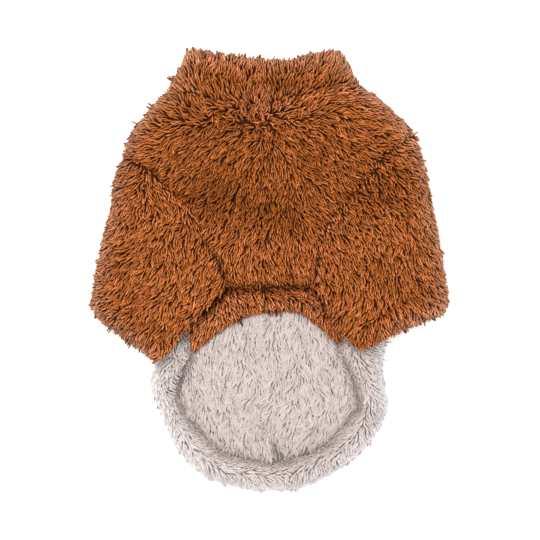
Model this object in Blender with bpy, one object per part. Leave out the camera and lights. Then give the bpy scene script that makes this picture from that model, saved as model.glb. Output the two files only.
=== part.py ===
# A small dog's teddy-fleece pullover, laid flat on its back with the chest panel up.
# +X is the right of the laid garment, +Y points to its neck and +Z up from the surface.
# Every outline is that of the pile's tips, so the solids reach as far as the fleece does.
# The tables are in millimetres, and MM turns them into metres when a mesh is made.

import bmesh
import bpy
import numpy as np
from mathutils import Vector
from mathutils.bvhtree import BVHTree

MM = 0.001
SEAM_GAP = 0.4  # between two pieces that are sewn together
LAYER_GAP = 0.3  # between two layers that lie on each other

# Heights of the layers above the surface
BACK_TOP = 6.0
LINING_BOTTOM = BACK_TOP + LAYER_GAP
LINING_TOP = 12.0
FRONT_BOTTOM = LINING_TOP + LAYER_GAP
FRONT_TOP = 25.0
COLLAR_TOP = 25.0

# How far a surface drops at an edge, and how far in from the edge that starts
BACK_SIDE = {"depth": 3.0, "reach": 6.0}  # the underside, which curls up by this much
LINING_SIDE = {"depth": 4.7, "reach": 5.0}
LINING_SEAM = {"depth": 4.6, "reach": 13.0}
CHEST_FOLD = {"depth": 13.0, "reach": 13.0}
CHEST_ARMHOLE = {"depth": 3.6, "reach": 9.0}
CHEST_NECK = {"depth": 1.8, "reach": 10.0}
CHEST_FOOT = {"depth": 9.5, "reach": 9.0}
COLLAR_NECK = {"depth": 1.6, "reach": 8.0}
COLLAR_LIP = {"depth": 4.5, "reach": 6.0}
CUFF_LIP = {"depth": 3.2, "reach": 6.0}

LINING_INSET = 13.0  # the lining stops this far inside the folded sides
UNDER_FOLD = 8.0  # the chest panel's underside climbs onto the lining over this width
CHEST_CROWN = {"height": 2.0, "reach": 45.0}
SLEEVE_THICKNESS = 17.0
SLEEVE_SEAM = {"thickness": 10.0, "reach": 30.0}  # where a sleeve is sewn in
SLEEVE_UNDERARM_REACH = 26.0  # it is as thin along its underarm fold
COLLAR_FOLD = {"share": 0.12, "reach": 12.0}  # how thin the collar is at its two folds
SLEEVE_FOLD = {"share": 0.16, "reach": 10.0}
CUFF_STITCHING = {"from_edge": 19.0, "width": 3.0, "depth": 1.3}
FOLDS_START = 12.0  # a sleeve's own folds start this far from its armhole
THINNEST_TUBE = 4.2
THINNEST_LINING = 1.2
LINING_SHOWS = {"from_y": -40.0, "over": 20.0}  # nearer the neck the lining lies flat under the chest
SLIT = 1.2  # between the two layers of a flat sleeve or of the collar
WALL = 6.0  # the cloth round the end of that slit
EDGE_SHARES = [0.012, 0.04, 0.085]  # extra points close to an edge, as shares of the width
SLEEVE_ROWS = [0, 0.035, 0.1, 0.18, 0.27, 0.36, 0.45, 0.54, 0.63, 0.71, 0.78, 0.84, 0.9, 0.95, 0.985, 1]
COLLAR_ROWS = [0, 0.07, 0.2, 0.36, 0.54, 0.7, 0.83, 0.92, 0.97, 1]

# Edges of the cut pieces, x and y, from the neck towards the hem
NECK_SEAM = [(-86, 150), (-60, 144), (-30, 139), (0, 138), (25, 144), (50, 153), (74, 156)]
COLLAR_RIM = [
    (-72, 184.5), (-58, 186), (-44, 182), (-24, 180), (0, 176.5), (18, 177), (32, 182), (46, 185), (62, 184),
]
COLLAR_LEFT = [(-86, 150), (-83.5, 160), (-78, 171), (-72, 184.5)]
COLLAR_RIGHT = [(74, 156), (70.5, 165), (68.5, 173), (62, 184)]
SHOULDER_LEFT = [(-86, 150), (-95, 147), (-102, 136), (-111, 127), (-118, 116), (-123, 106), (-122.5, 97)]
SHOULDER_RIGHT = [(74, 156), (87, 150.5), (97, 142.5), (104.5, 135.5), (112, 128.5), (118, 122), (123.5, 115)]
ARMHOLE_LEFT = [(-122.5, 97), (-104, 88), (-83, 68), (-65, 53), (-54, 26), (-41, 6), (-36, -13.5)]
ARMHOLE_RIGHT = [(123.5, 115), (108, 108), (94, 99), (83, 82), (69, 67), (56, 53), (42, 24), (36, -13.5)]
CHEST_HEM = [(-36, -13.5), (-18, -14), (0, -14), (18, -14), (36, -13.5)]
SIDE_LEFT = [(-122.5, 97), (-120, 60), (-117, 20), (-110, -10)]
SIDE_RIGHT = [(123.5, 115), (121, 80), (118, 40), (115, 10), (108, -12)]
SLEEVE_OUT_LEFT = [
    (-122.5, 97), (-127, 93), (-131, 84), (-135, 66), (-138, 44), (-143, 24), (-147, 4), (-150, -13),
    (-153, -27),
]
SLEEVE_OUT_RIGHT = [
    (123.5, 115), (127.5, 102), (131.5, 90), (135.5, 72), (139, 52), (143, 36), (145, 22), (148, 5),
    (150, -11), (152, -27),
]
UNDERARM_LEFT = [(-36, -13.5), (-48, -25), (-60, -38), (-72, -52), (-84, -66), (-93, -76)]
UNDERARM_RIGHT = [(36, -13.5), (47, -28), (55, -43), (61, -52), (68, -60), (76, -66)]
CUFF_LEFT = [(-153, -27), (-146, -40), (-133, -50), (-119, -60), (-105, -70), (-93, -76)]
CUFF_RIGHT = [(152, -27), (147, -36), (134, -42), (121, -47), (107, -53), (94, -60), (85, -64), (76, -66)]

# The rolled hem of the back, a row for each section from its left end round to its right end
HEM_ROLL = {
    "inner_x": [-99, -84, -71, -66, -72, -79, -77, -70, -58, -42, -24, -2,
                20, 38, 54, 68, 77, 74, 68, 62, 61, 68, 82, 96],
    "inner_y": [-27, -38, -52, -67, -82, -97, -112, -127, -142, -154, -161, -163.5,
                -162, -155, -145, -130, -114, -99, -86, -72, -58, -46, -35, -25],
    "outer_x": [-103, -103, -101, -98, -100.5, -103, -98.5, -90.5, -78.5, -58, -32, -2,
                26, 52, 73.5, 89, 101, 100.5, 96, 99, 100, 103, 103, 100],
    "outer_y": [-31, -44, -60, -76, -86, -98, -114, -133, -156, -176.5, -186, -189.5,
                -188, -176, -161, -145, -121, -104, -87, -74, -60, -46, -36, -28],
    "height": [8, 11, 14.5, 18, 21.5, 22.5, 23, 23.5, 24, 24.5, 24.5, 24.5,
               24.5, 24, 24, 24.5, 24.5, 24, 22, 20, 17.5, 14, 10.5, 8],
}
ROLL_SECTIONS = 49  # what is sewn to the rolled hem has its edge points at the same places
# A section of the rolled hem, as shares of its width and of its height
ROLL_SECTION = {
    "across": [0, 0, 0.03, 0.12, 0.29, 0.49, 0.66, 0.8, 0.92, 1, 0.98, 0.9, 0.6, 0.3],
    "up": [0, 0.35, 0.62, 0.85, 0.97, 1, 0.94, 0.78, 0.52, 0.26, 0.09, 0, 0, 0],
}

# The elastic band at the hem of the chest, a row for each section from left to right
CHEST_BAND = {
    "upper_x": [-70, -64, -55, -44, -35, -20, 0, 20, 34, 43, 52, 58, 61],
    "upper_y": [-50, -42, -32, -21.5, -14.6, -14.6, -14.6, -14.6, -14.6, -21, -33, -42, -48],
    "lower_x": [-65, -59, -47, -33, -22, -10, 3, 17, 29, 37, 45, 53, 59.5],
    "lower_y": [-68.5, -64, -54, -44.5, -38.5, -35.5, -34, -34, -36.5, -43, -50, -57.5, -62],
    "height": [7, 7.5, 8, 8, 8, 8, 8, 8, 8, 8, 8, 7.5, 7],
}
BAND_SECTION = {
    "across": [0, 0, 0.1, 0.26, 0.46, 0.66, 0.84, 0.96, 1, 0.96, 0.5],
    "up": [0, 0.14, 0.26, 0.56, 0.94, 1, 0.78, 0.44, 0.18, 0, 0],
}

# Soft folds: the line that each follows, its half width and its depth. A depth below 0 is a ridge.
CHEST_FOLDS = [
    {"line": [(-92, 82), (-40, 64), (4, 52), (30, 32)], "width": 13, "depth": 3.2},
    {"line": [(20, 118), (34, 108), (42, 92)], "width": 8, "depth": 2.4},
    {"line": [(-70, 132), (-76, 112), (-84, 92)], "width": 6, "depth": 2.0},
    {"line": [(34, 128), (52, 134), (70, 122), (76, 104)], "width": 9, "depth": -2.2},
    {"line": [(-30, 112), (-8, 118), (12, 104)], "width": 12, "depth": -1.6},
    {"line": [(-58, 122), (-50, 98), (-30, 84)], "width": 9, "depth": -1.4},
    {"line": [(88, 118), (80, 104)], "width": 6, "depth": 2.2},
]
COLLAR_FOLDS = [
    {"line": [(-28, 146), (-8, 150), (14, 158), (36, 162)], "width": 9, "depth": 3.4},
    {"line": [(-43, 172), (-43, 145)], "width": 5, "depth": 2.0},
    {"line": [(-75, 146), (-60, 150)], "width": 6, "depth": 2.2},
    {"line": [(-60, 174), (-58, 156)], "width": 8, "depth": -1.5},
    {"line": [(52, 176), (58, 162)], "width": 8, "depth": -1.5},
]
SLEEVE_LEFT_FOLDS = [
    {"line": [(-128, 30), (-121, -4), (-106, -40)], "width": 11, "depth": 2.6},
    {"line": [(-100, 76), (-78, 46), (-62, 8)], "width": 10, "depth": -1.8},
    {"line": [(-140, -20), (-118, -36), (-92, -54)], "width": 4, "depth": 1.2},
    {"line": [(-86, -6), (-78, -30)], "width": 9, "depth": 1.6},
]
SLEEVE_RIGHT_FOLDS = [
    {"line": [(96, 92), (112, 74), (122, 60)], "width": 13, "depth": 2.8},
    {"line": [(82, 8), (98, -2), (106, -14)], "width": 12, "depth": 2.4},
    {"line": [(140, -7), (118, -21), (94, -35), (74, -46)], "width": 3.5, "depth": 2.6},
    {"line": [(72, 52), (58, 20), (52, -8)], "width": 10, "depth": -1.6},
]
LINING_FOLDS = [
    {"line": [(-2, -130), (-2, -146), (-3, -162)], "width": 5, "depth": -6.5},
    {"line": [(7, -142), (11, -152), (14, -162)], "width": 4, "depth": 2.6},
    {"line": [(-13, -146), (-15, -160)], "width": 4, "depth": 1.6},
    {"line": [(30, -144), (48, -138), (62, -124)], "width": 6, "depth": 1.8},
    {"line": [(-40, -92), (0, -104), (36, -86)], "width": 26, "depth": -0.8},
]
PINCH_SHARES = [0.44, 0.47, 0.53, 0.56]  # extra columns of the lining where its hem is pinched

TEDDY_BROWN = {"name": "teddy fleece, russet", "colour": (0.33, 0.105, 0.032), "roughness": 0.95}
TEDDY_PALE = {"name": "teddy fleece, pale grey", "colour": (0.62, 0.53, 0.49), "roughness": 0.95}


def clear_scene():
    for old in list(bpy.data.objects):
        bpy.data.objects.remove(old)


def cloth_material(look):
    material = bpy.data.materials.new(look["name"])
    material.use_nodes = True
    shader = material.node_tree.nodes["Principled BSDF"]
    shader.inputs["Base Color"].default_value = (*look["colour"], 1)
    shader.inputs["Roughness"].default_value = look["roughness"]
    shader.inputs["Metallic"].default_value = 0
    return material


def smooth_curve(points, shares):
    """A smooth curve through the points, read at shares of its length."""
    points = np.array(points, float)
    steps = 24
    tangents = np.gradient(points, axis=0)
    line = []
    for a, b, leave, arrive in zip(points[:-1], points[1:], tangents[:-1], tangents[1:]):
        t = np.linspace(0, 1, steps, endpoint=False)[:, None]
        line.append(
            a * (2 * t**3 - 3 * t**2 + 1) + leave * (t**3 - 2 * t**2 + t)
            + b * (3 * t**2 - 2 * t**3) + arrive * (t**3 - t**2)
        )
    line = np.vstack([*line, points[-1:]])
    along = np.concatenate([[0], np.cumsum(np.linalg.norm(np.diff(line, axis=0), axis=1))])
    along /= along[-1]
    return np.stack([np.interp(shares, along, column) for column in line.T], axis=1)


def distance_to(line, points):
    """How far each point of the plan is from a smooth line."""
    line = smooth_curve(line, np.linspace(0, 1, 40)) if len(line) > 2 else np.array(line, float)
    best = np.full(points.shape[:-1], np.inf)
    for a, b in zip(line[:-1], line[1:]):
        along = b - a
        share = np.clip(((points - a) @ along) / (along @ along), 0, 1)
        best = np.minimum(best, np.linalg.norm(points - a - share[..., None] * along, axis=-1))
    return best


def rounded(distance, radius):
    """From 0 at an edge to 1 at the radius, along a quarter of a circle."""
    return np.sqrt(1 - (1 - np.clip(distance / radius, 0, 1)) ** 2)


def fall(distance, edge):
    """How far a surface has dropped at this distance from its edge."""
    return edge["depth"] * (1 - rounded(distance, edge["reach"]))


def folded_over(distance, fold):
    """The share of the full thickness at this distance from a fold of the cloth."""
    return fold["share"] + (1 - fold["share"]) * rounded(distance, fold["reach"])


def eased(share):
    share = np.clip(share, 0, 1)
    return share * share * (3 - 2 * share)


def folded(points, folds):
    """How much the soft folds change a surface's height at each point of the plan."""
    change = np.zeros(points.shape[:-1])
    for fold in folds:
        change -= fold["depth"] * np.exp(-((distance_to(fold["line"], points) / fold["width"]) ** 2))
    return change


def edged_shares(count, near):
    """Shares from 0 to 1 with extra ones close to both ends, where an edge is rounded."""
    middle = np.linspace(near[-1], 1 - near[-1], count)
    return np.concatenate([[0], near[:-1], middle, 1 - np.array(near[:-1])[::-1], [1]])


def plan_patch(first, last, left, right, across, along):
    """A grid of plan points between four edges: left and right run along it, first and last across it."""
    u, v = across[None, :, None], along[:, None, None]
    first_row, last_row = smooth_curve(first, across)[None], smooth_curve(last, across)[None]
    left_column, right_column = left[:, None], right[:, None]
    corners = (
        (1 - u) * (1 - v) * first_row[:, :1] + u * (1 - v) * first_row[:, -1:]
        + (1 - u) * v * last_row[:, :1] + u * v * last_row[:, -1:]
    )
    return (1 - v) * first_row + v * last_row + (1 - u) * left_column + u * right_column - corners


def joined_curves(pieces, counts):
    """Edges read one after another, each with its own number of rows."""
    read = [smooth_curve(points, np.linspace(0, 1, count + 1)) for points, count in zip(pieces, counts)]
    return np.vstack([edge[:-1] for edge in read[:-1]] + [read[-1]])


def moved_in(plan, distances):
    """Each row of a plan grid, shortened at both ends by that row's distance."""
    moved = plan.copy()
    for row, distance in enumerate(distances):
        line = plan[row]
        along = np.concatenate([[0], np.cumsum(np.linalg.norm(np.diff(line, axis=0), axis=1))])
        at = distance + along / along[-1] * (along[-1] - 2 * distance)
        moved[row] = np.stack([np.interp(at, along, column) for column in line.T], axis=1)
    return moved


def loft(name, rings, look, ends):
    """A closed body through rings of equally many points. Its ends are "split", closed by a strip between the
    two halves of the ring, "filled" by one face, or "joined" to each other."""
    rings = [np.asarray(ring) * MM for ring in rings]
    count = len(rings[0])
    shape = bmesh.new()
    verts = [[shape.verts.new(point) for point in ring] for ring in rings]
    pairs = list(zip(verts[:-1], verts[1:])) + ([(verts[-1], verts[0])] if ends == "joined" else [])
    for near, far in pairs:
        for i in range(count):
            j = (i + 1) % count
            shape.faces.new((near[i], near[j], far[j], far[i]))
    if ends == "split":
        for ring in (verts[0], verts[-1]):
            for i in range(count // 2 - 1):
                shape.faces.new((ring[i], ring[i + 1], ring[count - 2 - i], ring[count - 1 - i]))
    if ends == "filled":
        shape.faces.new(verts[0])
        shape.faces.new(verts[-1])
    bmesh.ops.recalc_face_normals(shape, faces=shape.faces)
    mesh = bpy.data.meshes.new(name)
    shape.to_mesh(mesh)
    shape.free()
    mesh.shade_smooth()
    mesh.set_sharp_from_angle(angle=1.0)
    mesh.materials.append(look)
    piece = bpy.data.objects.new(name, mesh)
    garment.objects.link(piece)
    return piece


def at_height(plan, heights):
    return np.concatenate([plan, np.broadcast_to(heights, plan.shape[:-1])[..., None]], axis=-1)


def layer(name, plan, low, high, look):
    """A flat layer of cloth: each row of the plan is a ring with its top and its underside."""
    top, bottom = at_height(plan, high), at_height(plan, low)
    rings = [np.vstack([top[row], bottom[row][::-1]]) for row in range(len(plan))]
    return loft(name, rings, look, "split")


def flat_tube(name, plan, low, high, look, inner_rows):
    """A tube of cloth lying flat, with a slit between its two layers that is open at both ends."""
    outer = [np.vstack([at_height(p, h), at_height(p, b)[::-1]]) for p, b, h in zip(plan, low, high)]
    narrowed = moved_in(at_height(plan, (low + high) / 2), np.full(len(plan), WALL))
    inner = []
    for row in inner_rows:
        upper, lower = narrowed[row].copy(), narrowed[row].copy()
        upper[:, 2] += SLIT / 2
        lower[:, 2] -= SLIT / 2
        inner.append(np.vstack([upper, lower[::-1]]))
    return loft(name, outer + inner[::-1], look, "joined")


def swept(name, inner, outer, heights, floor, section, look):
    """A band whose section stands between an inner and an outer line of the plan."""
    rings = []
    for near, far, height in zip(inner, outer, heights):
        across, up = np.array(section["across"], float), np.array(section["up"], float)
        rings.append(at_height(near + across[:, None] * (far - near), floor + up * height))
    return loft(name, rings, look, "filled")


def table_curves(table, names, count):
    """The columns of a table of sections, read smoothly at more sections."""
    rows = np.array([table[name] for name in names], float).T
    return smooth_curve(rows, np.linspace(0, 1, count)).T


def height_above(pieces):
    """A function that gives the top of the pieces at a place of the plan, or 0 where there are none."""
    trees = []
    for piece in pieces:
        points = [v.co for v in piece.data.vertices]
        trees.append(BVHTree.FromPolygons(points, [tuple(f.vertices) for f in piece.data.polygons]))

    def height(x, y):
        hits = [tree.ray_cast(Vector((x * MM, y * MM, 1)), Vector((0, 0, -1)))[0] for tree in trees]
        return max([0] + [hit.z / MM for hit in hits if hit])

    return height


def draped(plan, height, reaches, gather):
    """The heights under each plan point, gathered from the places round it."""
    turns = np.linspace(0, 2 * np.pi, 12, endpoint=False)
    ring = [(0, 0)] + [(r * np.cos(a), r * np.sin(a)) for r in reaches for a in turns]
    return np.array([[gather([height(x + dx, y + dy) for dx, dy in ring]) for x, y in row] for row in plan])


def roll_curves():
    """The rolled hem's inner and outer line and its height, at each of its sections."""
    names = ("inner_x", "inner_y", "outer_x", "outer_y", "height")
    inner_x, inner_y, outer_x, outer_y, height = table_curves(HEM_ROLL, names, ROLL_SECTIONS)
    return np.stack([inner_x, inner_y], axis=1), np.stack([outer_x, outer_y], axis=1), height


def back_edges(shoulder_rows, side_rows):
    """The two long edges of the back, each with its shoulder, its side and its share of the seam with the
    rolled hem, and the foot of that seam between them."""
    seam, _, _ = roll_curves()
    turn = ROLL_SECTIONS // 2 - 2
    counts = (shoulder_rows, side_rows)
    left = joined_curves([SHOULDER_LEFT, SIDE_LEFT + [tuple(seam[0])]], counts)
    right = joined_curves([SHOULDER_RIGHT, SIDE_RIGHT + [tuple(seam[-1])]], counts)
    foot = seam[turn : len(seam) - turn]
    return np.vstack([left, seam[1 : turn + 1]]), np.vstack([right, seam[::-1][1 : turn + 1]]), foot


def make_back(look):
    left, right, foot = back_edges(shoulder_rows=5, side_rows=8)
    across, along = edged_shares(12, EDGE_SHARES), np.linspace(0, 1, len(left))
    plan = plan_patch(NECK_SEAM, foot, left, right, across, along)
    side = np.minimum(
        distance_to(SHOULDER_LEFT + SIDE_LEFT[1:], plan), distance_to(SHOULDER_RIGHT + SIDE_RIGHT[1:], plan)
    )
    low = fall(side, BACK_SIDE)
    return layer("back_panel", plan, low, np.full(low.shape, BACK_TOP), look)


def make_lining(look):
    shoulder_rows, side_rows = 3, 7
    left, right, foot = back_edges(shoulder_rows, side_rows)
    across = np.sort(np.concatenate([edged_shares(17, EDGE_SHARES[:2]), PINCH_SHARES]))
    along = np.linspace(0, 1, len(left))
    plan = plan_patch(NECK_SEAM, foot, left, right, across, along)
    last = shoulder_rows + side_rows
    inset = np.interp(np.arange(len(left)), [0, last - 2, last + 1], [LINING_INSET, LINING_INSET, 0.0])
    plan = moved_in(plan, inset)
    rim = np.minimum(distance_to(plan[:, 0], plan), distance_to(plan[:, -1], plan))
    seam = np.minimum(rim, distance_to(plan[-1], plan))
    shown = eased((LINING_SHOWS["from_y"] - plan[..., 1]) / LINING_SHOWS["over"])
    drop = (1 - shown) * fall(rim, LINING_SIDE) + shown * fall(seam, LINING_SEAM)
    high = LINING_TOP - drop + shown * folded(plan, LINING_FOLDS)
    high = np.maximum(high, LINING_BOTTOM + THINNEST_LINING)
    return layer("back_lining", plan, np.full(high.shape, LINING_BOTTOM), high, look)


def make_front(look):
    left = joined_curves([SHOULDER_LEFT, ARMHOLE_LEFT], (7, 15))
    right = joined_curves([SHOULDER_RIGHT, ARMHOLE_RIGHT], (7, 15))
    across, along = edged_shares(18, EDGE_SHARES), np.linspace(0, 1, len(left))
    plan = plan_patch(NECK_SEAM, CHEST_HEM, left, right, across, along)
    fold = np.minimum(distance_to(SHOULDER_LEFT, plan), distance_to(SHOULDER_RIGHT, plan))
    armhole = np.minimum(distance_to(ARMHOLE_LEFT, plan), distance_to(ARMHOLE_RIGHT, plan))
    neck, hem = distance_to(NECK_SEAM, plan), distance_to(CHEST_HEM, plan)
    crown = CHEST_CROWN["height"] * eased(np.minimum(fold, armhole) / CHEST_CROWN["reach"])
    drop = fall(fold, CHEST_FOLD) + fall(armhole, CHEST_ARMHOLE)
    drop += fall(neck, CHEST_NECK) + fall(hem, CHEST_FOOT)
    high = FRONT_TOP + crown - drop + folded(plan, CHEST_FOLDS)
    at_fold = BACK_TOP + 2 * LAYER_GAP
    low = at_fold + (FRONT_BOTTOM - at_fold) * eased(fold / UNDER_FOLD)
    return layer("front_panel", plan, low, high, look)


def make_collar(look):
    across = edged_shares(18, EDGE_SHARES)
    along = np.array(COLLAR_ROWS)
    left, right = smooth_curve(COLLAR_LEFT, along), smooth_curve(COLLAR_RIGHT, along)
    plan = plan_patch(NECK_SEAM, COLLAR_RIM, left, right, across, along)
    plan[0, :, 1] += SEAM_GAP
    fold = np.minimum(distance_to(COLLAR_LEFT, plan), distance_to(COLLAR_RIGHT, plan))
    rim, neck = distance_to(COLLAR_RIM, plan), distance_to(NECK_SEAM, plan)
    middle, shape = COLLAR_TOP / 2, folded_over(fold, COLLAR_FOLD)
    lip = fall(rim, COLLAR_LIP)
    creases = folded(plan, COLLAR_FOLDS) * rounded(fold, COLLAR_FOLD["reach"])
    high = middle + (middle - fall(neck, COLLAR_NECK) - lip) * shape + creases
    low = middle - (middle - lip) * shape
    return flat_tube("collar", plan, low, high, look, [0, 3, 6, 9])


def make_sleeve(name, edges, folds, below, look):
    across = edged_shares(12, EDGE_SHARES)
    along = np.array(SLEEVE_ROWS)
    armhole, cuff, outside, underarm = edges
    out_edge, in_edge = smooth_curve(outside, along), smooth_curve(underarm, along)
    plan = plan_patch(armhole, cuff, out_edge, in_edge, across, along)
    plan[0] += SEAM_GAP * np.array([np.sign(plan[0, 0, 0]), -0.5])
    out_fold, in_fold = distance_to(outside, plan), distance_to(underarm, plan)
    seam, rim = distance_to(armhole, plan), distance_to(cuff, plan)
    full = eased(seam / SLEEVE_SEAM["reach"]) * eased(in_fold / SLEEVE_UNDERARM_REACH)
    thickness = SLEEVE_SEAM["thickness"] + (SLEEVE_THICKNESS - SLEEVE_SEAM["thickness"]) * full
    shape, lip = folded_over(np.minimum(out_fold, in_fold), SLEEVE_FOLD), fall(rim, CUFF_LIP)
    stitching = np.exp(-(((rim - CUFF_STITCHING["from_edge"]) / CUFF_STITCHING["width"]) ** 2))
    under = draped(plan, below, (4, 8, 12), max)
    low = under + np.where(under > 0, LAYER_GAP, 0) + thickness / 2 * (1 - shape) + lip * shape
    level = np.maximum(draped(plan, below, (9, 18, 27), np.mean), under) + LAYER_GAP
    high = level + thickness * (1 + shape) / 2 - (lip + CUFF_STITCHING["depth"] * stitching) * shape
    high += folded(plan, folds) * shape * eased(seam / FOLDS_START)
    high = np.maximum(high, low + THINNEST_TUBE)
    return flat_tube(name, plan, low, high, look, [0, 3, 5, 7, 9, 11, 13, 15])


def make_hem_roll(look):
    inner, outer, height = roll_curves()
    across = outer - inner
    inner = inner + SEAM_GAP * across / np.linalg.norm(across, axis=1)[:, None]
    return swept("back_hem_band", inner, outer, height, 0.0, ROLL_SECTION, look)


def make_chest_band(look):
    upper_x, upper_y, lower_x, lower_y, height = table_curves(
        CHEST_BAND, ("upper_x", "upper_y", "lower_x", "lower_y", "height"), 30
    )
    upper, lower = np.stack([upper_x, upper_y], axis=1), np.stack([lower_x, lower_y], axis=1)
    return swept("front_hem_band", upper, lower, height, FRONT_BOTTOM, BAND_SECTION, look)


def centre_on_origin(pieces):
    """Hangs the pieces on an empty whose place puts the origin under the middle of the garment."""
    points = np.array([v.co for piece in pieces for v in piece.data.vertices])
    middle = (points.min(axis=0) + points.max(axis=0)) / 2
    stand = bpy.data.objects.new("pullover", None)
    garment.objects.link(stand)
    stand.location = (-middle[0], -middle[1], -points[:, 2].min())
    for piece in pieces:
        piece.parent = stand


clear_scene()
garment = bpy.data.collections.new("dog pullover")
bpy.context.scene.collection.children.link(garment)
brown, pale = cloth_material(TEDDY_BROWN), cloth_material(TEDDY_PALE)

back = make_back(brown)
lining = make_lining(pale)
roll = make_hem_roll(pale)
band = make_chest_band(brown)
front = make_front(brown)
collar = make_collar(brown)
ground = height_above([back, lining, roll, band])
left_edges = (ARMHOLE_LEFT, CUFF_LEFT, SLEEVE_OUT_LEFT, UNDERARM_LEFT)
sleeve_left = make_sleeve("sleeve_left", left_edges, SLEEVE_LEFT_FOLDS, ground, brown)
right_edges = (ARMHOLE_RIGHT, CUFF_RIGHT, SLEEVE_OUT_RIGHT, UNDERARM_RIGHT)
sleeve_right = make_sleeve("sleeve_right", right_edges, SLEEVE_RIGHT_FOLDS, ground, brown)
centre_on_origin([back, lining, roll, band, front, collar, sleeve_left, sleeve_right])
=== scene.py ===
# A small dog's teddy-fleece pullover, laid flat on its back with the chest up.
# Brown fleece outside, pale fleece inside. Each piece is a cloth base with its pile as real locks.

from math import cos, radians, sin

import bmesh
import bpy
import numpy as np
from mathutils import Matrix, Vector, noise
from mathutils.bvhtree import BVHTree


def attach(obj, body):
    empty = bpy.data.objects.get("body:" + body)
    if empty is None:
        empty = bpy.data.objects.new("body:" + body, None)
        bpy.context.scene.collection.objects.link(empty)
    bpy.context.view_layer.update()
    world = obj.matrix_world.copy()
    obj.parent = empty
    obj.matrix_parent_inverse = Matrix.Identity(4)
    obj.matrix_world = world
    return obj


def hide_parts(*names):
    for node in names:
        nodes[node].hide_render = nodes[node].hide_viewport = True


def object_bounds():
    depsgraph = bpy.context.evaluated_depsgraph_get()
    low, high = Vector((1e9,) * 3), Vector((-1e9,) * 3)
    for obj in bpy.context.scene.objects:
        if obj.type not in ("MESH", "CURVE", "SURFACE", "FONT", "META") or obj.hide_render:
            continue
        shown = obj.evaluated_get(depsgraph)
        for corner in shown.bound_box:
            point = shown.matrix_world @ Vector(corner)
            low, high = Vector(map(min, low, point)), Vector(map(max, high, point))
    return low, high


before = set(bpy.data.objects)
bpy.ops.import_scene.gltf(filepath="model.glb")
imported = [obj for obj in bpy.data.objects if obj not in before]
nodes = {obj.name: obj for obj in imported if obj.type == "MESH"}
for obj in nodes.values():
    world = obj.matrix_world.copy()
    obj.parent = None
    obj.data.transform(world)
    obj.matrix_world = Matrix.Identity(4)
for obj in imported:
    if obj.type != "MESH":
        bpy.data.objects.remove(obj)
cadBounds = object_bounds()
scene = bpy.context.scene
mm = 0.001


# Colours and nodes

def hexColour(code):
    # sRGB hex to linear, as the shader sockets want it
    parts = [int(code[i:i + 2], 16) / 255 for i in (1, 3, 5)]
    return [c / 12.92 if c <= 0.04045 else ((c + 0.055) / 1.055) ** 2.4 for c in parts] + [1]


def addNode(tree, kind, settings=None, links=None):
    # One node, with its properties or socket values and what its sockets are linked from
    node = tree.nodes.new(kind)
    for name, value in (settings or {}).items():
        if name in node.inputs:
            node.inputs[name].default_value = value
        else:
            setattr(node, name, value)
    for name, source in (links or {}).items():
        tree.links.new(source, node.inputs[name])
    return node


def newMaterial(name):
    # An empty node material and its tree
    material = bpy.data.materials.new(name)
    material.use_nodes = True
    tree = material.node_tree
    tree.nodes.clear()
    return material, tree


def ramp(tree, source, stops):
    # The colour at a value from 0 to 1, between stops of a place and a hex colour
    node = addNode(tree, "ShaderNodeValToRGB", links={"Fac": source})
    elements = node.color_ramp.elements
    while len(elements) < len(stops):
        elements.new(0.5)
    for element, (place, code) in zip(elements, stops):
        element.position = place
        element.color = hexColour(code)
    return node.outputs["Color"]


# Where a colour Mix node has its two colours and its result
mixSockets = {"first": 6, "second": 7, "result": 2}


# Teddy fleece pile: polyester locks, brushed and tumbled into tufts.
# Painted shade darkens the roots, where the light doesn't reach, and the sides of each lock;
# the tips are paler where the fibres fan out.
def pileMaterial(name, look):
    material, tree = newMaterial(name)
    share = addNode(tree, "ShaderNodeAttribute", {"attribute_name": "lockPaintedLight"})
    tone = addNode(tree, "ShaderNodeAttribute", {"attribute_name": "lockToneAndShade"})
    edgeLight = addNode(tree, "ShaderNodeAttribute", {"attribute_name": "lockEdgeLight"})
    dense = ramp(tree, share.outputs["Fac"], look["denseLock"])
    edgeLitColour = ramp(tree, share.outputs["Fac"], look["edgeLitLock"])
    # Painted light: towards the outline a lock takes its paler, pinker edge-lit colours
    along = addNode(tree, "ShaderNodeMix", {"data_type": "RGBA"})
    tree.links.new(edgeLight.outputs["Fac"], along.inputs["Factor"])
    tree.links.new(dense, along.inputs[mixSockets["first"]])
    tree.links.new(edgeLitColour, along.inputs[mixSockets["second"]])
    # The tone, random and with its painted shade, sets how light a lock is, and a darker lock is more
    # saturated
    depth = addNode(tree, "ShaderNodeMath", {"operation": "MULTIPLY_ADD"}, {0: tone.outputs["Fac"]})
    depth.inputs[1].default_value = -look["deepening"]
    depth.inputs[2].default_value = 1 + look["deepening"]
    colour = addNode(tree, "ShaderNodeHueSaturation", links={
        "Color": along.outputs[mixSockets["result"]],
        "Value": tone.outputs["Fac"],
        "Saturation": depth.outputs[0],
    })
    shader = addNode(tree, "ShaderNodeBsdfPrincipled", {
        "Roughness": look["roughness"], "Specular IOR Level": 0.15,
        "Sheen Weight": look["sheen"], "Sheen Roughness": 0.4, "Sheen Tint": hexColour(look["sheenTint"]),
    }, {"Base Color": colour.outputs["Color"]})
    addNode(tree, "ShaderNodeOutputMaterial", links={"Surface": shader.outputs["BSDF"]})
    return material


# Tufts and fibres in millimetres, how much deeper the tufts are than the fibres, and the depth of both
matted = {"tufts": 3.2, "fibres": 0.8, "deeper": 2.5, "depth": 1.2, "deepUnder": 0.32, "paleOver": 0.68}
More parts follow.
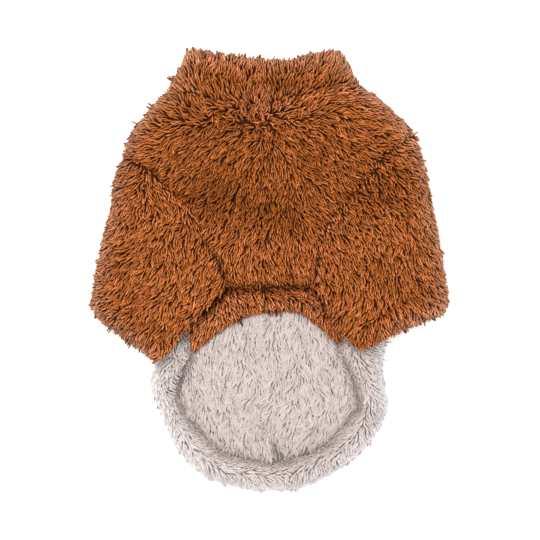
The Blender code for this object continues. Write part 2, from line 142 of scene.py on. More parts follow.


# The knitted back of the fleece, seen only between the locks and on the underside.
# Grooves a few millimetres apart stand for the flattened pile there, their darker colour painted shade deep
# in the pile.
def backingMaterial(name, look):
    material, tree = newMaterial(name)
    place = addNode(tree, "ShaderNodeTexCoord").outputs["Object"]
    tufts = addNode(tree, "ShaderNodeTexNoise", {
        "Scale": 1 / (matted["tufts"] * mm), "Detail": 3.0, "Distortion": 0.8,
    }, {"Vector": place})
    fibres = addNode(tree, "ShaderNodeTexNoise", {
        "Scale": 1 / (matted["fibres"] * mm), "Detail": 2.0,
    }, {"Vector": place})
    # Painted shade: the backing is darker than the locks and darkest in its grooves
    colour = ramp(tree, tufts.outputs["Fac"], [
        (matted["deepUnder"], look["deep"]), (matted["paleOver"], look["backing"]),
    ])
    height = addNode(tree, "ShaderNodeMath", {"operation": "MULTIPLY_ADD"}, {
        0: tufts.outputs["Fac"], 2: fibres.outputs["Fac"],
    })
    height.inputs[1].default_value = matted["deeper"]
    bump = addNode(tree, "ShaderNodeBump", {
        "Strength": 0.8, "Distance": matted["depth"] * mm,
    }, {"Height": height.outputs[0]})
    shader = addNode(tree, "ShaderNodeBsdfPrincipled", {
        "Roughness": 0.95, "Specular IOR Level": 0.1,
    }, {"Base Color": colour, "Normal": bump.outputs["Normal"]})
    addNode(tree, "ShaderNodeOutputMaterial", links={"Surface": shader.outputs["BSDF"]})
    return material


# The colours from a lock's root to its lightest part: deep in the pile, and towards the outline, where
# painted light makes them paler and pinker. The dark roots are painted shade. The deepening is how much more
# saturated a darker lock is.
brownLook = {
    "denseLock": [(0.0, "#110602"), (0.3, "#391806"), (0.7, "#8a4415"), (1.0, "#e8944c")],
    "edgeLitLock": [(0.0, "#2a150a"), (0.3, "#5d331c"), (0.7, "#9a6547"), (1.0, "#e4b495")],
    "deepening": 0.12, "roughness": 0.7, "sheen": 0.06, "sheenTint": "#e8a070",
    # The backing's colours: the deep one for its grooves, as painted shade
    "deep": "#2d1408", "backing": "#582a13",
}
paleLook = {
    "denseLock": [(0.0, "#b6a49e"), (0.3, "#b3a5a0"), (0.7, "#b3a8a4"), (1.0, "#b5ada9")],
    "edgeLitLock": [(0.0, "#b7aba8"), (0.3, "#bfb8b7"), (0.7, "#cac6c7"), (1.0, "#d9d5d7")],
    "deepening": 0.2, "roughness": 0.7, "sheen": 0.1, "sheenTint": "#ffffff",
    # The backing's colours: the deep one for its grooves, as painted shade
    "deep": "#b9a7a0", "backing": "#c2b2ac",
}
brownPile = pileMaterial("teddy fleece pile, russet", brownLook)
palePile = pileMaterial("teddy fleece pile, pale", paleLook)
brownBacking = backingMaterial("teddy fleece backing, russet", brownLook)
paleBacking = backingMaterial("teddy fleece backing, pale", paleLook)
print("materials made")


# Cloth bases

rounding = {"merge": 0.01 * mm, "flatter": radians(50), "levels": 1}


def smoothCopy(nodeName):
    # The node's form with its loose triangles merged and rounded once
    bm = bmesh.new()
    bm.from_mesh(nodes[nodeName].data)
    bmesh.ops.remove_doubles(bm, verts=bm.verts, dist=rounding["merge"])
    bmesh.ops.join_triangles(
        bm, faces=bm.faces,
        angle_face_threshold=rounding["flatter"], angle_shape_threshold=rounding["flatter"],
    )
    mesh = bpy.data.meshes.new(nodeName + "Form")
    bm.to_mesh(mesh)
    bm.free()
    piece = bpy.data.objects.new(nodeName + "Form", mesh)
    scene.collection.objects.link(piece)
    rounder = piece.modifiers.new("Rounded", "SUBSURF")
    rounder.levels = rounder.render_levels = rounding["levels"]
    graph = bpy.context.evaluated_depsgraph_get()
    finished = bpy.data.meshes.new_from_object(piece.evaluated_get(graph))
    bpy.data.objects.remove(piece)
    return finished


def readPoints(mesh):
    # Positions and normals
    points = np.empty(len(mesh.vertices) * 3)
    mesh.vertices.foreach_get("co", points)
    normals = np.empty(len(mesh.vertices) * 3)
    mesh.vertices.foreach_get("normal", normals)
    return points.reshape(-1, 3), normals.reshape(-1, 3)


def readTriangles(mesh):
    mesh.calc_loop_triangles()
    triangles = np.empty(len(mesh.loop_triangles) * 3, np.int32)
    mesh.loop_triangles.foreach_get("vertices", triangles)
    return triangles.reshape(-1, 3)


def readEdges(mesh):
    edges = np.empty(len(mesh.edges) * 2, np.int32)
    mesh.edges.foreach_get("vertices", edges)
    return edges.reshape(-1, 2)


def spreadOut(values, edges, rounds):
    # Each point's value drawn towards the mean of its neighbours'
    for _ in range(rounds):
        total = values.copy()
        count = np.ones(len(values))
        np.add.at(total, edges[:, 0], values[edges[:, 1]])
        np.add.at(total, edges[:, 1], values[edges[:, 0]])
        np.add.at(count, edges.ravel(), 1)
        values = total / count
    return values


forms = {name: smoothCopy(name) for name in nodes}
formTrees = {}
for name, form in forms.items():
    points, _ = readPoints(form)
    formTrees[name] = BVHTree.FromPolygons(points.tolist(), readTriangles(form).tolist())
print("forms read:", len(forms))


# How much of the cloth surrounds a place seen from above: about a half at the outline and 1 well inside it.
# Where the cover falls from dense towards the outline, the locks are painted paler and pinker:
# painted light on the pile that faces sideways.
cover = {"cell": 4 * mm, "margin": 60 * mm, "blur": 11 * mm, "blurCells": 8, "dense": 0.97, "fall": 0.42}


def coverGrid():
    # The cloth seen from a metre above as a grid of 0 and 1, blurred: its low corner, and its values
    low, high = np.array(cadBounds[0])[:2] - cover["margin"], np.array(cadBounds[1])[:2] + cover["margin"]
    across, along = [np.arange(a, b, cover["cell"]) for a, b in zip(low, high)]
    mask = np.zeros((len(across), len(along)))
    for i, x in enumerate(across):
        for j, y in enumerate(along):
            start = Vector((x, y, 1))
            mask[i, j] = any(tree.ray_cast(start, Vector((0, 0, -1)))[0] for tree in formTrees.values())
    steps = np.arange(-cover["blurCells"], cover["blurCells"] + 1) * cover["cell"]
    weights = np.exp(-0.5 * (steps / cover["blur"]) ** 2)
    weights /= weights.sum()
    for axis in (0, 1):
        mask = np.apply_along_axis(lambda line: np.convolve(line, weights, "same"), axis, mask)
    return low, mask


coverLow, coverMask = coverGrid()


def coverAt(places):
    # The cover at each place, between the four cells round it
    at = (places[:, :2] - coverLow) / cover["cell"]
    i, j = np.clip(at.astype(int), 0, np.array(coverMask.shape) - 2).T
    u, v = (at - np.stack([i, j], axis=1)).T
    return (
        coverMask[i, j] * (1 - u) * (1 - v) + coverMask[i + 1, j] * u * (1 - v)
        + coverMask[i, j + 1] * (1 - u) * v + coverMask[i + 1, j + 1] * u * v
    )


def distanceAlong(tree, start, direction, reach):
    # How far a ray goes before it meets the form, or its reach
    hit = tree.ray_cast(Vector(start), Vector(direction), reach)
    return reach if hit[0] is None else hit[3]


# How a form is drawn in by its pile: at most this share of its thickness, which a ray measures,
# and hardly where its normal points down. Rounds of spreading then even the depth out.
# Nearer another piece than a seam it isn't drawn in sideways, and beyond that the fade brings this back.
# A base that reaches towards its neighbour does so within the last two millimetres.
drawIn = {
    "thickShare": 0.36, "rayStart": 0.2 * mm, "rayReach": 50 * mm,
    "facingDown": -0.35, "underneath": 0.1 * mm, "rounds": 2,
    "seam": 1.5 * mm, "seamFade": 4 * mm, "reachFade": 2,
}


def clothBase(nodeName, look):
    # The form drawn in by the depth of its pile, less where it is thin and not sideways at a seam.
    # Where another piece is sewn on it can reach towards it, so that no gap shows.
    form = forms[nodeName]
    mesh = form.copy()
    points, normals = readPoints(form)
    edges = readEdges(form)
    others = [tree for name, tree in formTrees.items() if name != nodeName]
    thickness = np.array([
        distanceAlong(formTrees[nodeName], point - normal * drawIn["rayStart"], -normal, drawIn["rayReach"])
        for point, normal in zip(points, normals)
    ])
    near = np.array([min(tree.find_nearest(Vector(point))[3] for tree in others) for point in points])
    depth = np.minimum(look["pileDepth"] * mm, drawIn["thickShare"] * thickness)
    depth = np.where(normals[:, 2] < drawIn["facingDown"], drawIn["underneath"], depth)
    depth = spreadOut(depth, edges, drawIn["rounds"])
    sideways = np.clip((near - drawIn["seam"]) / drawIn["seamFade"], 0, 1)
    drawn = points - normals * depth[:, None] * np.stack([sideways, sideways, np.ones(len(near))], axis=1)
    reach = look["seamReach"] * mm * np.clip(drawIn["reachFade"] - near / mm, 0, 1)
    drawn[:, :2] += normals[:, :2] * reach[:, None]
    drawn[:, 2] = np.maximum(drawn[:, 2], 0.0)
    mesh.vertices.foreach_set("co", drawn.ravel())
    mesh.update()
    mesh.shade_smooth()
    mesh.name = look["name"]
    piece = bpy.data.objects.new(look["name"], mesh)
    scene.collection.objects.link(piece)
    mesh.materials.clear()
    mesh.materials.append(look["backing"])
    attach(piece, "root")
    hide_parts(nodeName)
    return piece


# Pile

def unit(vectors):
    # The same directions at length 1
    return vectors / np.maximum(np.linalg.norm(vectors, axis=-1, keepdims=True), 1e-9)


# How the places of the locks are found: tries for each lock that fits, how close two may be in spacings,
# and the way up that has to be free. On a side face, whose normal is level, that way leans outwards.
sowing = {"tries": 5, "closest": 0.82, "start": 0.15 * mm, "free": 3 * mm, "level": 0.15, "rise": 0.8}


def openPlaces(nodeName, baseMesh, look, random):
    # Even places where nothing lies on the cloth: on the drawn-in base, the normal, and on the form
    form = forms[nodeName]
    outerPoints, outerNormals = readPoints(form)
    innerPoints, _ = readPoints(baseMesh)
    triangles = readTriangles(form)
    corners = outerPoints[triangles]
    areas = np.linalg.norm(np.cross(corners[:, 1] - corners[:, 0], corners[:, 2] - corners[:, 0]), axis=1) / 2
    cell = look["spacing"] * mm
    wanted = int(areas.sum() / cell ** 2 * sowing["tries"])
    chosen = random.choice(len(triangles), wanted, p=areas / areas.sum())
    a, b = random.random(wanted), random.random(wanted)
    flip = a + b > 1
    a, b = np.where(flip, 1 - a, a), np.where(flip, 1 - b, b)
    weights = np.stack([1 - a - b, a, b], axis=1)[..., None]
    outer = (outerPoints[triangles[chosen]] * weights).sum(axis=1)
    inner = (innerPoints[triangles[chosen]] * weights).sum(axis=1)
    normals = (outerNormals[triangles[chosen]] * weights).sum(axis=1)
    normals /= np.linalg.norm(normals, axis=1)[:, None]
    kept, grid = [], {}
    for i in np.flatnonzero(normals[:, 2] > look["lowestNormal"]):
        key = tuple((outer[i] // cell).astype(int))
        around = [
            j
            for dx in (-1, 0, 1) for dy in (-1, 0, 1) for dz in (-1, 0, 1)
            for j in grid.get((key[0] + dx, key[1] + dy, key[2] + dz), ())
        ]
        if any(((outer[i] - outer[j]) ** 2).sum() < (sowing["closest"] * cell) ** 2 for j in around):
            continue
        start = outer[i] + normals[i] * sowing["start"]
        way = (0, 0, 1) if normals[i][2] > sowing["level"] else unit(normals[i] + [0, 0, sowing["rise"]])
        free = min(distanceAlong(tree, start, way, sowing["free"]) for tree in formTrees.values())
        if free < sowing["free"]:
            continue
        grid.setdefault(key, []).append(i)
        kept.append(i)
    return inner[kept], normals[kept], outer[kept]


def nearSpot(spot, places):
    # 1 in the middle of a spot seen from above, falling towards 0 outside its radii
    away = np.linalg.norm((places[:, :2] / mm - spot["at"]) / spot["radii"], axis=1)
    return np.exp(-away ** 2)


noiseScale = 1.6


def wander(places, size, seed):
    # Smooth noise over the cloth, roughly from -1 to 1
    heights = [noise.noise(Vector(place) / (size * mm) + Vector(seed)) for place in places]
    return np.array(heights) * noiseScale


def smoothLine(line):
    # A line of points in millimetres read closely, in metres
    line = np.array(line, float) * mm
    along = np.concatenate([[0], np.cumsum(np.linalg.norm(np.diff(line, axis=0), axis=1))])
    at = np.arange(0, along[-1], mm)
    return np.stack([np.interp(at, along, column) for column in line.T], axis=1)


def lineDistance(line, places):
    # How far each place is in plan from a line, in millimetres
    line = smoothLine(line)
    return np.sqrt(((places[:, None, :2] - line[None]) ** 2).sum(axis=2).min(axis=1)) / mm


# How the placed directions blend: the square millimetres that soften a near one, how fast a far one fades,
# how soon they count as agreeing, and how far a ridge may loosen the pile
napBlend = {"soften": 120, "fade": 1.5, "agree": 1.25, "ridgeLaid": 0.3}


def napDirections(places, look, random):
    # The way the pile lies: blended between the placed directions, with whorls, clumps and some disorder.
    # Where they disagree it lies in loose clumps, and the second result goes from 1 towards 0.
    table = np.array(look["nap"], float)
    gaps = ((places[:, None, :2] / mm - table[None, :, :2]) ** 2).sum(axis=2) + napBlend["soften"]
    weights = 1 / gaps ** napBlend["fade"]
    angles = np.radians(table[:, 2])
    flow = np.stack([(weights * np.cos(angles)).sum(axis=1), (weights * np.sin(angles)).sum(axis=1)], axis=1)
    laid = np.clip(np.linalg.norm(flow, axis=1) / weights.sum(axis=1) * napBlend["agree"], 0, 1)
    flow = unit(flow)
    if "ridge" in look:
        line = smoothLine(look["ridge"]["line"])
        nearest = line[np.argmin(((places[:, None, :2] - line[None]) ** 2).sum(axis=2), axis=1)]
        away = (places[:, :2] - nearest) / (look["ridge"]["soft"] * mm)
        away /= np.maximum(np.linalg.norm(away, axis=1, keepdims=True), 1)
        flow = flow * look["ridge"]["flow"] + away
        laid = np.clip(np.linalg.norm(flow, axis=1), napBlend["ridgeLaid"], 1)
        flow = unit(flow)
    angle = np.arctan2(flow[:, 1], flow[:, 0])
    angle += wander(places, look["whorlSize"], look["whorlSeed"]) * radians(look["whorlTurn"])
    turn = radians(look["clumpTurn"]) + (1 - laid) * radians(look["looseTurn"])
    for spot in look.get("standing", []):
        turn += radians(spot.get("turn", 0)) * nearSpot(spot, places)
    angle += wander(places, look["clumpSize"], look["whorlSeed"][::-1]) * turn
    angle += random.normal(0, radians(look["disorder"]), len(places))
    return np.stack([np.cos(angle), np.sin(angle), np.zeros(len(angle))], axis=1), laid


# A lock from its root to its point: the share of its length, its width,
# and how light its upper edge and its sides are painted, the sides darker as painted shade between the locks
lockRings = [
    {"share": 0.0, "wide": 0.8, "upper": 0.3, "sides": 0.1},
    {"share": 0.45, "wide": 1.0, "upper": 0.82, "sides": 0.22},
    {"share": 0.88, "wide": 0.85, "upper": 0.88, "sides": 0.4},
]
# The point is painted a little darker than the upper edge: painted shade where it lies over the lock beneath
lockTip = 0.7
# Where a lock's three edges are round its spine, in degrees: the first is its upper one
lockEdges = (90, 210, 330)

# The least and most that chance makes of a lock's length, lift, width and tone, the tone with its painted
# shade.
# A lock is longer where the cloth lies level, and lifts more and leans less where the nap is loose.
# Along its spine it leans over and curls by powers of the share of its length.
growth = {
    "lengths": (0.75, 1.2), "lifts": (0.7, 1.35), "widths": (0.75, 1.25), "tones": (0.2, 1.7),
    "sideLength": 0.6, "levelMore": 0.4,
    "looseLift": 1.2, "laidLess": 0.2, "looseLean": 0.75, "laidMore": 0.25,
    "leanStart": 0.25, "leanRest": 0.65, "leanPower": 1.7, "curlPower": 1.6,
    "steep": 0.25, "slopeStep": 0.2, "flatness": 0.7, "lowest": 0.25 * mm,
}


def growLocks(places, outer, normals, naps, laid, look, random):
    # From its root at each place a three-sided lock leans over along the nap, curls sideways
    # and closes to a point: the points of all locks, the tone of each with its painted shade, and its painted
    # edge light
    total = len(places)
    tangents = naps - normals * (naps * normals).sum(axis=1, keepdims=True)
    flatNap = np.linalg.norm(tangents, axis=1, keepdims=True)
    tangents = unit(np.where(flatNap > growth["steep"], tangents, tangents + normals * [1, 1, 0]))
    sides = np.cross(normals, tangents)
    upright = np.clip(normals[:, 2], 0, 1)
    length = look["length"] * mm * random.uniform(*growth["lengths"], total)
    length *= growth["sideLength"] + growth["levelMore"] * upright ** 2
    length *= 1 + look["tufts"] * (1 - upright) * wander(outer, look["tuftSize"], look["whorlSeed"])
    curl = look["curl"] * wander(outer, look["curlSize"], look["whorlSeed"][::-1])
    curl += random.normal(0, look["curlSpread"], total)
    lift = look["lift"] * random.uniform(*growth["lifts"], total)
    lift *= growth["looseLift"] - growth["laidLess"] * laid
    leaning = growth["looseLean"] + growth["laidMore"] * laid
    tone = look["tone"] * random.normal(1, look["toneSpread"], total)
    tone *= 1 + look["mottle"] * wander(outer, look["mottleSize"], look["whorlSeed"])
    # Painted shade: along partings and where the pile stands, the locks' tone is darker, or lighter as
    # painted light where the value is below 0
    for parting in look.get("partings", []):
        near = np.exp(-(lineDistance(parting["line"], outer) / parting["width"]) ** 2)
        length *= 1 - parting["shorter"] * near
        tone *= 1 - parting["paintedShade"] * near
    for spot in look.get("standing", []):
        near = nearSpot(spot, outer)
        lift *= 1 + spot["more"] * near
        tone *= 1 - spot["paintedShade"] * near
    # Painted light: paler, pinker locks where the cover falls towards the outline, and more so on some pieces
    edgeLight = np.clip((cover["dense"] - coverAt(outer)) / cover["fall"] + look["edgeLightMore"], 0, 1)

    def spine(share):
        # Where each lock's middle is at a share of its length
        climb = length * lift * (1 - (1 - share) ** 2)
        over = growth["leanStart"] * share + growth["leanRest"] * share ** growth["leanPower"]
        lean = length * leaning * over
        swing = length * curl * share ** growth["curlPower"]
        return places + normals * climb[:, None] + tangents * lean[:, None] + sides * swing[:, None]

    halfWidth = look["width"] * mm / 2 * random.uniform(*growth["widths"], total)
    rings = []
    for ring in lockRings:
        here = spine(ring["share"])
        further = spine(ring["share"] + growth["slopeStep"])
        ahead = unit(further - spine(max(ring["share"] - growth["slopeStep"], 0.0)))
        across = unit(sides - ahead * (sides * ahead).sum(axis=1, keepdims=True))
        top = np.cross(across, ahead)
        top = np.where((top * normals).sum(axis=1, keepdims=True) < 0, -top, top)
        for angle in lockEdges:
            offset = across * cos(radians(angle)) + top * sin(radians(angle)) * growth["flatness"]
            rings.append(here + offset * (halfWidth * ring["wide"])[:, None])
    rings.append(spine(1.0))
    points = np.stack(rings, axis=1)
    points[..., 2] = np.maximum(points[..., 2], growth["lowest"])
    return points, np.clip(tone, *growth["tones"]), edgeLight


def lockMesh(name, points, tone, edgeLight):
    # Many locks as one mesh, filled from arrays. One lock's triangles: its root, the bands between its rings
    # and its point. The count of triangles comes back too.
    total, each = points.shape[:2]
    around = len(lockEdges)
    lastRing = (len(lockRings) - 1) * around
    single = [(0, 2, 1)]
    for low in range(0, lastRing, around):
        high = low + around
        for i in range(around):
            j = (i + 1) % around
            single += [(low + i, low + j, high + j), (low + i, high + j, high + i)]
    single += [(lastRing + i, lastRing + (i + 1) % around, lastRing + around) for i in range(around)]
    triangles = (np.array(single)[None] + (np.arange(total) * each)[:, None, None]).reshape(-1, 3)
    mesh = bpy.data.meshes.new(name)
    mesh.vertices.add(total * each)
    mesh.vertices.foreach_set("co", points.ravel())
    mesh.loops.add(triangles.size)
    mesh.loops.foreach_set("vertex_index", triangles.ravel())
    mesh.polygons.add(len(triangles))
    mesh.polygons.foreach_set("loop_start", np.arange(0, triangles.size, 3))
    mesh.update(calc_edges=True)
    mesh.shade_smooth()
    # How light each corner of a lock is painted: its upper edges lighter, its sides in painted shade
    shares = [value for ring in lockRings for value in (ring["upper"], ring["sides"], ring["sides"])]
    share = mesh.attributes.new("lockPaintedLight", "FLOAT", "POINT")
    share.data.foreach_set("value", np.tile(shares + [lockTip], total))
    for name, values in (("lockToneAndShade", tone), ("lockEdgeLight", edgeLight)):
        attribute = mesh.attributes.new(name, "FLOAT", "POINT")
        attribute.data.foreach_set("value", np.repeat(values, each))
    return mesh, len(triangles)


def pile(nodeName, base, look, seed):
    # The whole pile of a piece, in as many side-by-side meshes as its dictionary says
    random = np.random.default_rng(seed)
    inner, normals, outer = openPlaces(nodeName, base.data, look, random)
    naps, laid = napDirections(outer, look, random)
    points, tone, edgeLight = growLocks(inner, outer, normals, naps, laid, look, random)
    across = np.argsort(points[:, 0, 0], kind="stable")
    pieces = []
    for index, chosen in enumerate(np.array_split(across, look["parts"])):
        mesh, count = lockMesh(f"{look['name']}Pile{index + 1}", points[chosen], tone[chosen], edgeLight[chosen])
        mesh.materials.append(look["pile"])
        piece = bpy.data.objects.new(mesh.name, mesh)
        scene.collection.objects.link(piece)
        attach(piece, "root")
        print(f"{piece.name}: {count} triangles")
        pieces.append(piece)
    return pieces


# What all the brown pieces share, and the pale ones. Sizes are in millimetres, turns in degrees,
# and lift, curl, tufts and mottle are shares of a lock's length or tone.
brownFleece = {
    "slot": "teddy_brown", "backing": brownBacking, "pile": brownPile,
    "pileDepth": 3.4, "seamReach": 0, "lowestNormal": -0.3, "spacing": 1.85, "parts": 1,
    "length": 7.6, "width": 2.45, "lift": 0.38, "tufts": 0.5, "tuftSize": 4,
    "curl": 0.5, "curlSize": 4.5, "curlSpread": 0.04, "whorlSize": 30, "whorlTurn": 16,
    "clumpSize": 6, "clumpTurn": 24, "looseTurn": 100, "disorder": 5,
    "tone": 1.0, "toneSpread": 0.2, "mottle": 0.13, "mottleSize": 5, "edgeLightMore": 0,
}
paleFleece = {
    **brownFleece, "slot": "teddy_pale", "backing": paleBacking, "pile": palePile,
    "pileDepth": 3.0, "spacing": 1.75, "length": 8.5, "width": 2.3, "lift": 0.26,
    "curl": 0.6, "curlSize": 6, "clumpSize": 7, "clumpTurn": 28, "toneSpread": 0.08, "mottle": 0.04,
}

# Seams and creases seen from above
leftArmhole = [(-122, 98), (-104, 89), (-83, 69), (-65, 54), (-54, 27), (-41, 7), (-36, -12)]
rightArmhole = [(124, 116), (108, 109), (94, 100), (83, 83), (69, 68), (56, 54), (42, 25), (36, -12)]
bandCrease = [(-60, -37), (-46, -24), (-36, -14), (0, -15), (35, -12), (46, -22), (57, -38)]
neckLine = [(-76, 151), (-50, 146), (-25, 141), (10, 139), (40, 145), (62, 152)]
hemCrease = [(-65, -66), (-79, -95), (-78, -110), (-69, -125), (-42, -153), (-6, -162), (14, -161),
             (49, -147), (78, -113), (69, -86), (62, -70), (55, -57)]

# Each piece: its flat size in metres and area in square metres, the way its pile lies as rows of X, Y
# and direction, partings along lines, and spots where the pile stands up or is turned.
# Partings and standing spots also paint shade into their locks' tone, or painted light where the value is
# below 0
chest = {
    **brownFleece, "name": "chest", "flat": (0.25, 0.175), "area": 0.030,
    "whorlSeed": (3.1, 0.4, 7.7), "seamReach": 1.0, "parts": 2,
    "nap": [(-100, 124, 160), (-80, 110, 225), (-60, 80, 230), (-60, 140, 125), (-44, 118, 235),
            (-12, 140, 60), (38, 142, 45), (-16, 108, 240), (20, 105, 310), (45, 118, 325), (100, 115, 330),
            (60, 88, 315), (0, 78, 255), (-28, 30, 240), (-22, 0, 275), (40, 50, 310), (15, 20, 275),
            (40, 0, 290)],
    "partings": [{"line": leftArmhole, "width": 1.5, "shorter": 0, "paintedShade": 0.12},
                 {"line": rightArmhole[1:], "width": 4, "shorter": -0.2, "paintedShade": -0.2},
                 {"line": neckLine, "width": 5, "shorter": -0.35, "paintedShade": -0.15},
                 {"line": bandCrease, "width": 2.8, "shorter": -0.4, "paintedShade": 0.5}],
    "standing": [{"at": (-48, 70), "radii": (32, 20), "more": 0.5, "paintedShade": 0.35},
                 {"at": (8, 52), "radii": (38, 18), "more": 0.5, "paintedShade": 0.3},
                 {"at": (-10, 102), "radii": (80, 38), "more": 0, "paintedShade": 0.14},
                 {"at": (-44, 122), "radii": (30, 14), "more": 0.3, "paintedShade": 0.14},
                 {"at": (-14, 131), "radii": (34, 12), "more": 0, "paintedShade": 0, "turn": 90},
                 {"at": (40, 98), "radii": (24, 16), "more": 0.3, "paintedShade": 0.12},
                 {"at": (82, 82), "radii": (26, 22), "more": 0.4, "paintedShade": 0.12}],
}
leftSleeve = {
    **brownFleece, "name": "leftSleeve", "flat": (0.3, 0.16), "area": 0.03,
    "whorlSeed": (1.3, 5.2, 2.0),
    "nap": [(-120, 80, 205), (-92, 72, 305), (-66, 44, 300), (-80, 42, 225), (-140, 0, 220),
            (-95, -15, 225), (-60, -12, 240), (-84, -50, 250), (-125, -45, 225)],
    "partings": [{"line": leftArmhole, "width": 1.6, "shorter": 0.25, "paintedShade": 0.15},
                 {"line": [(-143, -14), (-116, -52)], "width": 1.6, "shorter": 0.3, "paintedShade": 0.12}],
}
rightSleeve = {
    **brownFleece, "name": "rightSleeve", "flat": (0.3, 0.16), "area": 0.03,
    "whorlSeed": (8.2, 1.1, 4.6),
    "nap": [(120, 90, -35), (90, 66, -65), (125, 40, -50), (65, 15, -55), (140, 0, -50),
            (100, -10, -85), (70, -35, -115), (120, -40, -65)],
    "partings": [{"line": rightArmhole, "width": 4, "shorter": -0.1, "paintedShade": -0.2},
                 {"line": [(146, -7), (116, -22), (82, -40)], "width": 2, "shorter": 0.35, "paintedShade": 0.3},
                 {"line": [(52, -52), (66, -66), (84, -66), (98, -58)],
                  "width": 8, "shorter": 0.4, "paintedShade": 0}],
    "standing": [{"at": (86, 72), "radii": (32, 26), "more": 0.5, "paintedShade": 0.24},
                 {"at": (93, 2), "radii": (12, 10), "more": 0.5, "paintedShade": 0.15}],
}
standCollar = {
    **brownFleece, "name": "standCollar", "flat": (0.32, 0.05), "area": 0.015,
    "whorlSeed": (6.4, 2.7, 9.3), "tone": 1.03,
    "nap": [(-82, 156, 135), (-50, 168, 95), (-40, 143, 120), (-5, 175, 90), (-8, 144, 75),
            (30, 152, 50), (60, 180, 80), (60, 158, 50)],
    "partings": [{"line": neckLine, "width": 5, "shorter": -0.1, "paintedShade": -0.15}],
    "standing": [{"at": (8, 153), "radii": (36, 13), "more": 0.5, "paintedShade": 0.26},
                 {"at": (-45, 150), "radii": (24, 13), "more": 0.2, "paintedShade": 0.12}],
}
chestBand = {
    **brownFleece, "name": "chestBand", "flat": (0.16, 0.03), "area": 0.0045,
    "whorlSeed": (4.4, 4.1, 1.9), "seamReach": 1.0, "tone": 1.2, "edgeLightMore": 0.15,
    "nap": [(-55, -48, 235), (-30, -25, 295), (10, -25, 290), (40, -32, 260), (52, -48, 280)],
    "partings": [{"line": bandCrease, "width": 2.6, "shorter": 0, "paintedShade": 0.6}],
}
backPanel = {
    **brownFleece, "name": "backPanel", "flat": (0.25, 0.32), "area": 0.062,
    "whorlSeed": (2.2, 7.0, 3.5), "pileDepth": 2.0, "length": 6.5,
    "nap": [(-120, 100, 180), (120, 100, 0)],
}
lining = {
    **paleFleece, "name": "lining", "flat": (0.23, 0.32), "area": 0.058,
    "whorlSeed": (5.5, 6.1, 0.7), "pileDepth": 1.8, "length": 9, "width": 2.7, "lift": 0.12, "tone": 0.965,
    "nap": [(-10, -55, 260), (45, -60, 290), (-60, -95, 285), (-30, -85, 255), (10, -95, 260),
            (40, -95, 285), (-30, -130, 260), (20, -127, 250), (42, -140, 235), (0, -150, 280)],
    "standing": [{"at": (42, -147), "radii": (15, 6), "more": 0.2, "paintedShade": 0.18}],
    "partings": [{"line": hemCrease, "width": 3.2, "shorter": 0.5, "paintedShade": 0.3},
                 {"line": [(-3, -144), (-1, -158)], "width": 5, "shorter": -0.1, "paintedShade": -0.08},
                 {"line": [(4, -144), (6, -150), (9, -156), (13, -163)],
                  "width": 2.2, "shorter": 0.8, "paintedShade": 0.7}],
}
# The roll's pile falls away to both sides of its ridge
hemRoll = {
    **paleFleece, "name": "hemRoll", "flat": (0.42, 0.04), "area": 0.0145,
    "whorlSeed": (9.1, 3.3, 5.8), "tone": 1.03,
    "nap": [(-90, -70, 290), (-90, -110, 295), (-75, -140, 315), (-40, -168, 335), (0, -176, 340),
            (35, -170, 240), (70, -145, 228), (90, -120, 285), (85, -85, 297), (85, -60, 300)],
    "ridge": {"line": [(-66, -45), (-80, -75), (-87, -100), (-80, -120), (-62, -146), (-32, -168),
                       (0, -174), (30, -168), (62, -150), (82, -125), (86, -108), (78, -84), (72, -60)],
              "soft": 8, "flow": 1.2},
    "partings": [{"line": hemCrease, "width": 3, "shorter": 0.5, "paintedShade": 0.28}],
}

print("pile grows")
# Each node, what is grown on it, and the seed of its chances
plan = [
    ("back_panel", backPanel, 11), ("back_lining", lining, 12), ("back_hem_band", hemRoll, 13),
    ("front_hem_band", chestBand, 14), ("front_panel", chest, 15), ("collar", standCollar, 16),
    ("sleeve_left", leftSleeve, 17), ("sleeve_right", rightSleeve, 18),
]
for nodeName, look, seed in plan:
    base = clothBase(nodeName, look)
    pilePieces = pile(nodeName, base, look, seed)

# Floor, light and camera

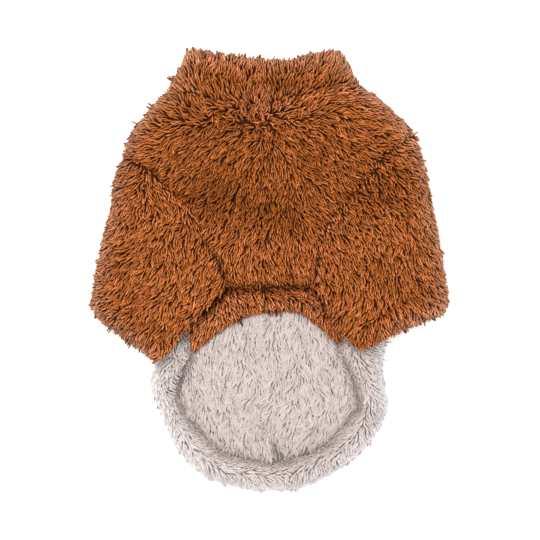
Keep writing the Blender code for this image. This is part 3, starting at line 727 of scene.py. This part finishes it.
floorLook = {"size": 6.0, "colour": "#fcfcfb", "roughness": 0.9}
bm = bmesh.new()
bmesh.ops.create_grid(bm, x_segments=1, y_segments=1, size=floorLook["size"] / 2)
floorMesh = bpy.data.meshes.new("floor")
bm.to_mesh(floorMesh)
bm.free()
floor = bpy.data.objects.new("floor", floorMesh)
scene.collection.objects.link(floor)
floorMaterial, floorTree = newMaterial("matt white paper")
paper = addNode(floorTree, "ShaderNodeBsdfPrincipled", {
    "Base Color": hexColour(floorLook["colour"]), "Roughness": floorLook["roughness"],
})
addNode(floorTree, "ShaderNodeOutputMaterial", links={"Surface": paper.outputs["BSDF"]})
floorMesh.materials.append(floorMaterial)

lights = [
    {"name": "overheadSoftbox", "at": (-0.3, 0.4, 1.3), "size": 0.7, "watts": 14, "colour": "#fffaf4"},
    {"name": "sideSoftbox", "at": (1.1, -0.2, 0.9), "size": 0.8, "watts": 5, "colour": "#ffffff"},
    {"name": "hemSoftbox", "at": (-0.2, -1.2, 0.9), "size": 0.8, "watts": 4, "colour": "#ffffff"},
]
for look in lights:
    data = bpy.data.lights.new(look["name"], "AREA")
    data.energy = look["watts"]
    data.size = look["size"]
    data.color = hexColour(look["colour"])[:3]
    lamp = bpy.data.objects.new(look["name"], data)
    lamp.location = look["at"]
    lamp.rotation_euler = (-Vector(look["at"])).to_track_quat("-Z", "Y").to_euler()
    scene.collection.objects.link(lamp)

studioLook = {"colour": "#ffffff", "strength": 1.15}
world = bpy.data.worlds.new("studio")
world.use_nodes = True
background = world.node_tree.nodes["Background"]
background.inputs["Color"].default_value = hexColour(studioLook["colour"])
background.inputs["Strength"].default_value = studioLook["strength"]
scene.world = world
scene.view_settings.view_transform = "Standard"

# Straight above, so far away that the picture is this wide at the height of most of the pile
cameraLook = {"lens": 100, "sensor": 36, "wide": 0.459, "height": 0.015, "over": (0.0005, 0.0018)}
cameraData = bpy.data.cameras.new("camera")
cameraData.lens = cameraLook["lens"]
cameraData.sensor_width = cameraLook["sensor"]
camera = bpy.data.objects.new("camera", cameraData)
distance = cameraLook["wide"] * cameraLook["lens"] / cameraLook["sensor"]
camera.location = (*cameraLook["over"], cameraLook["height"] + distance)
scene.collection.objects.link(camera)
scene.camera = camera
print("stage set")
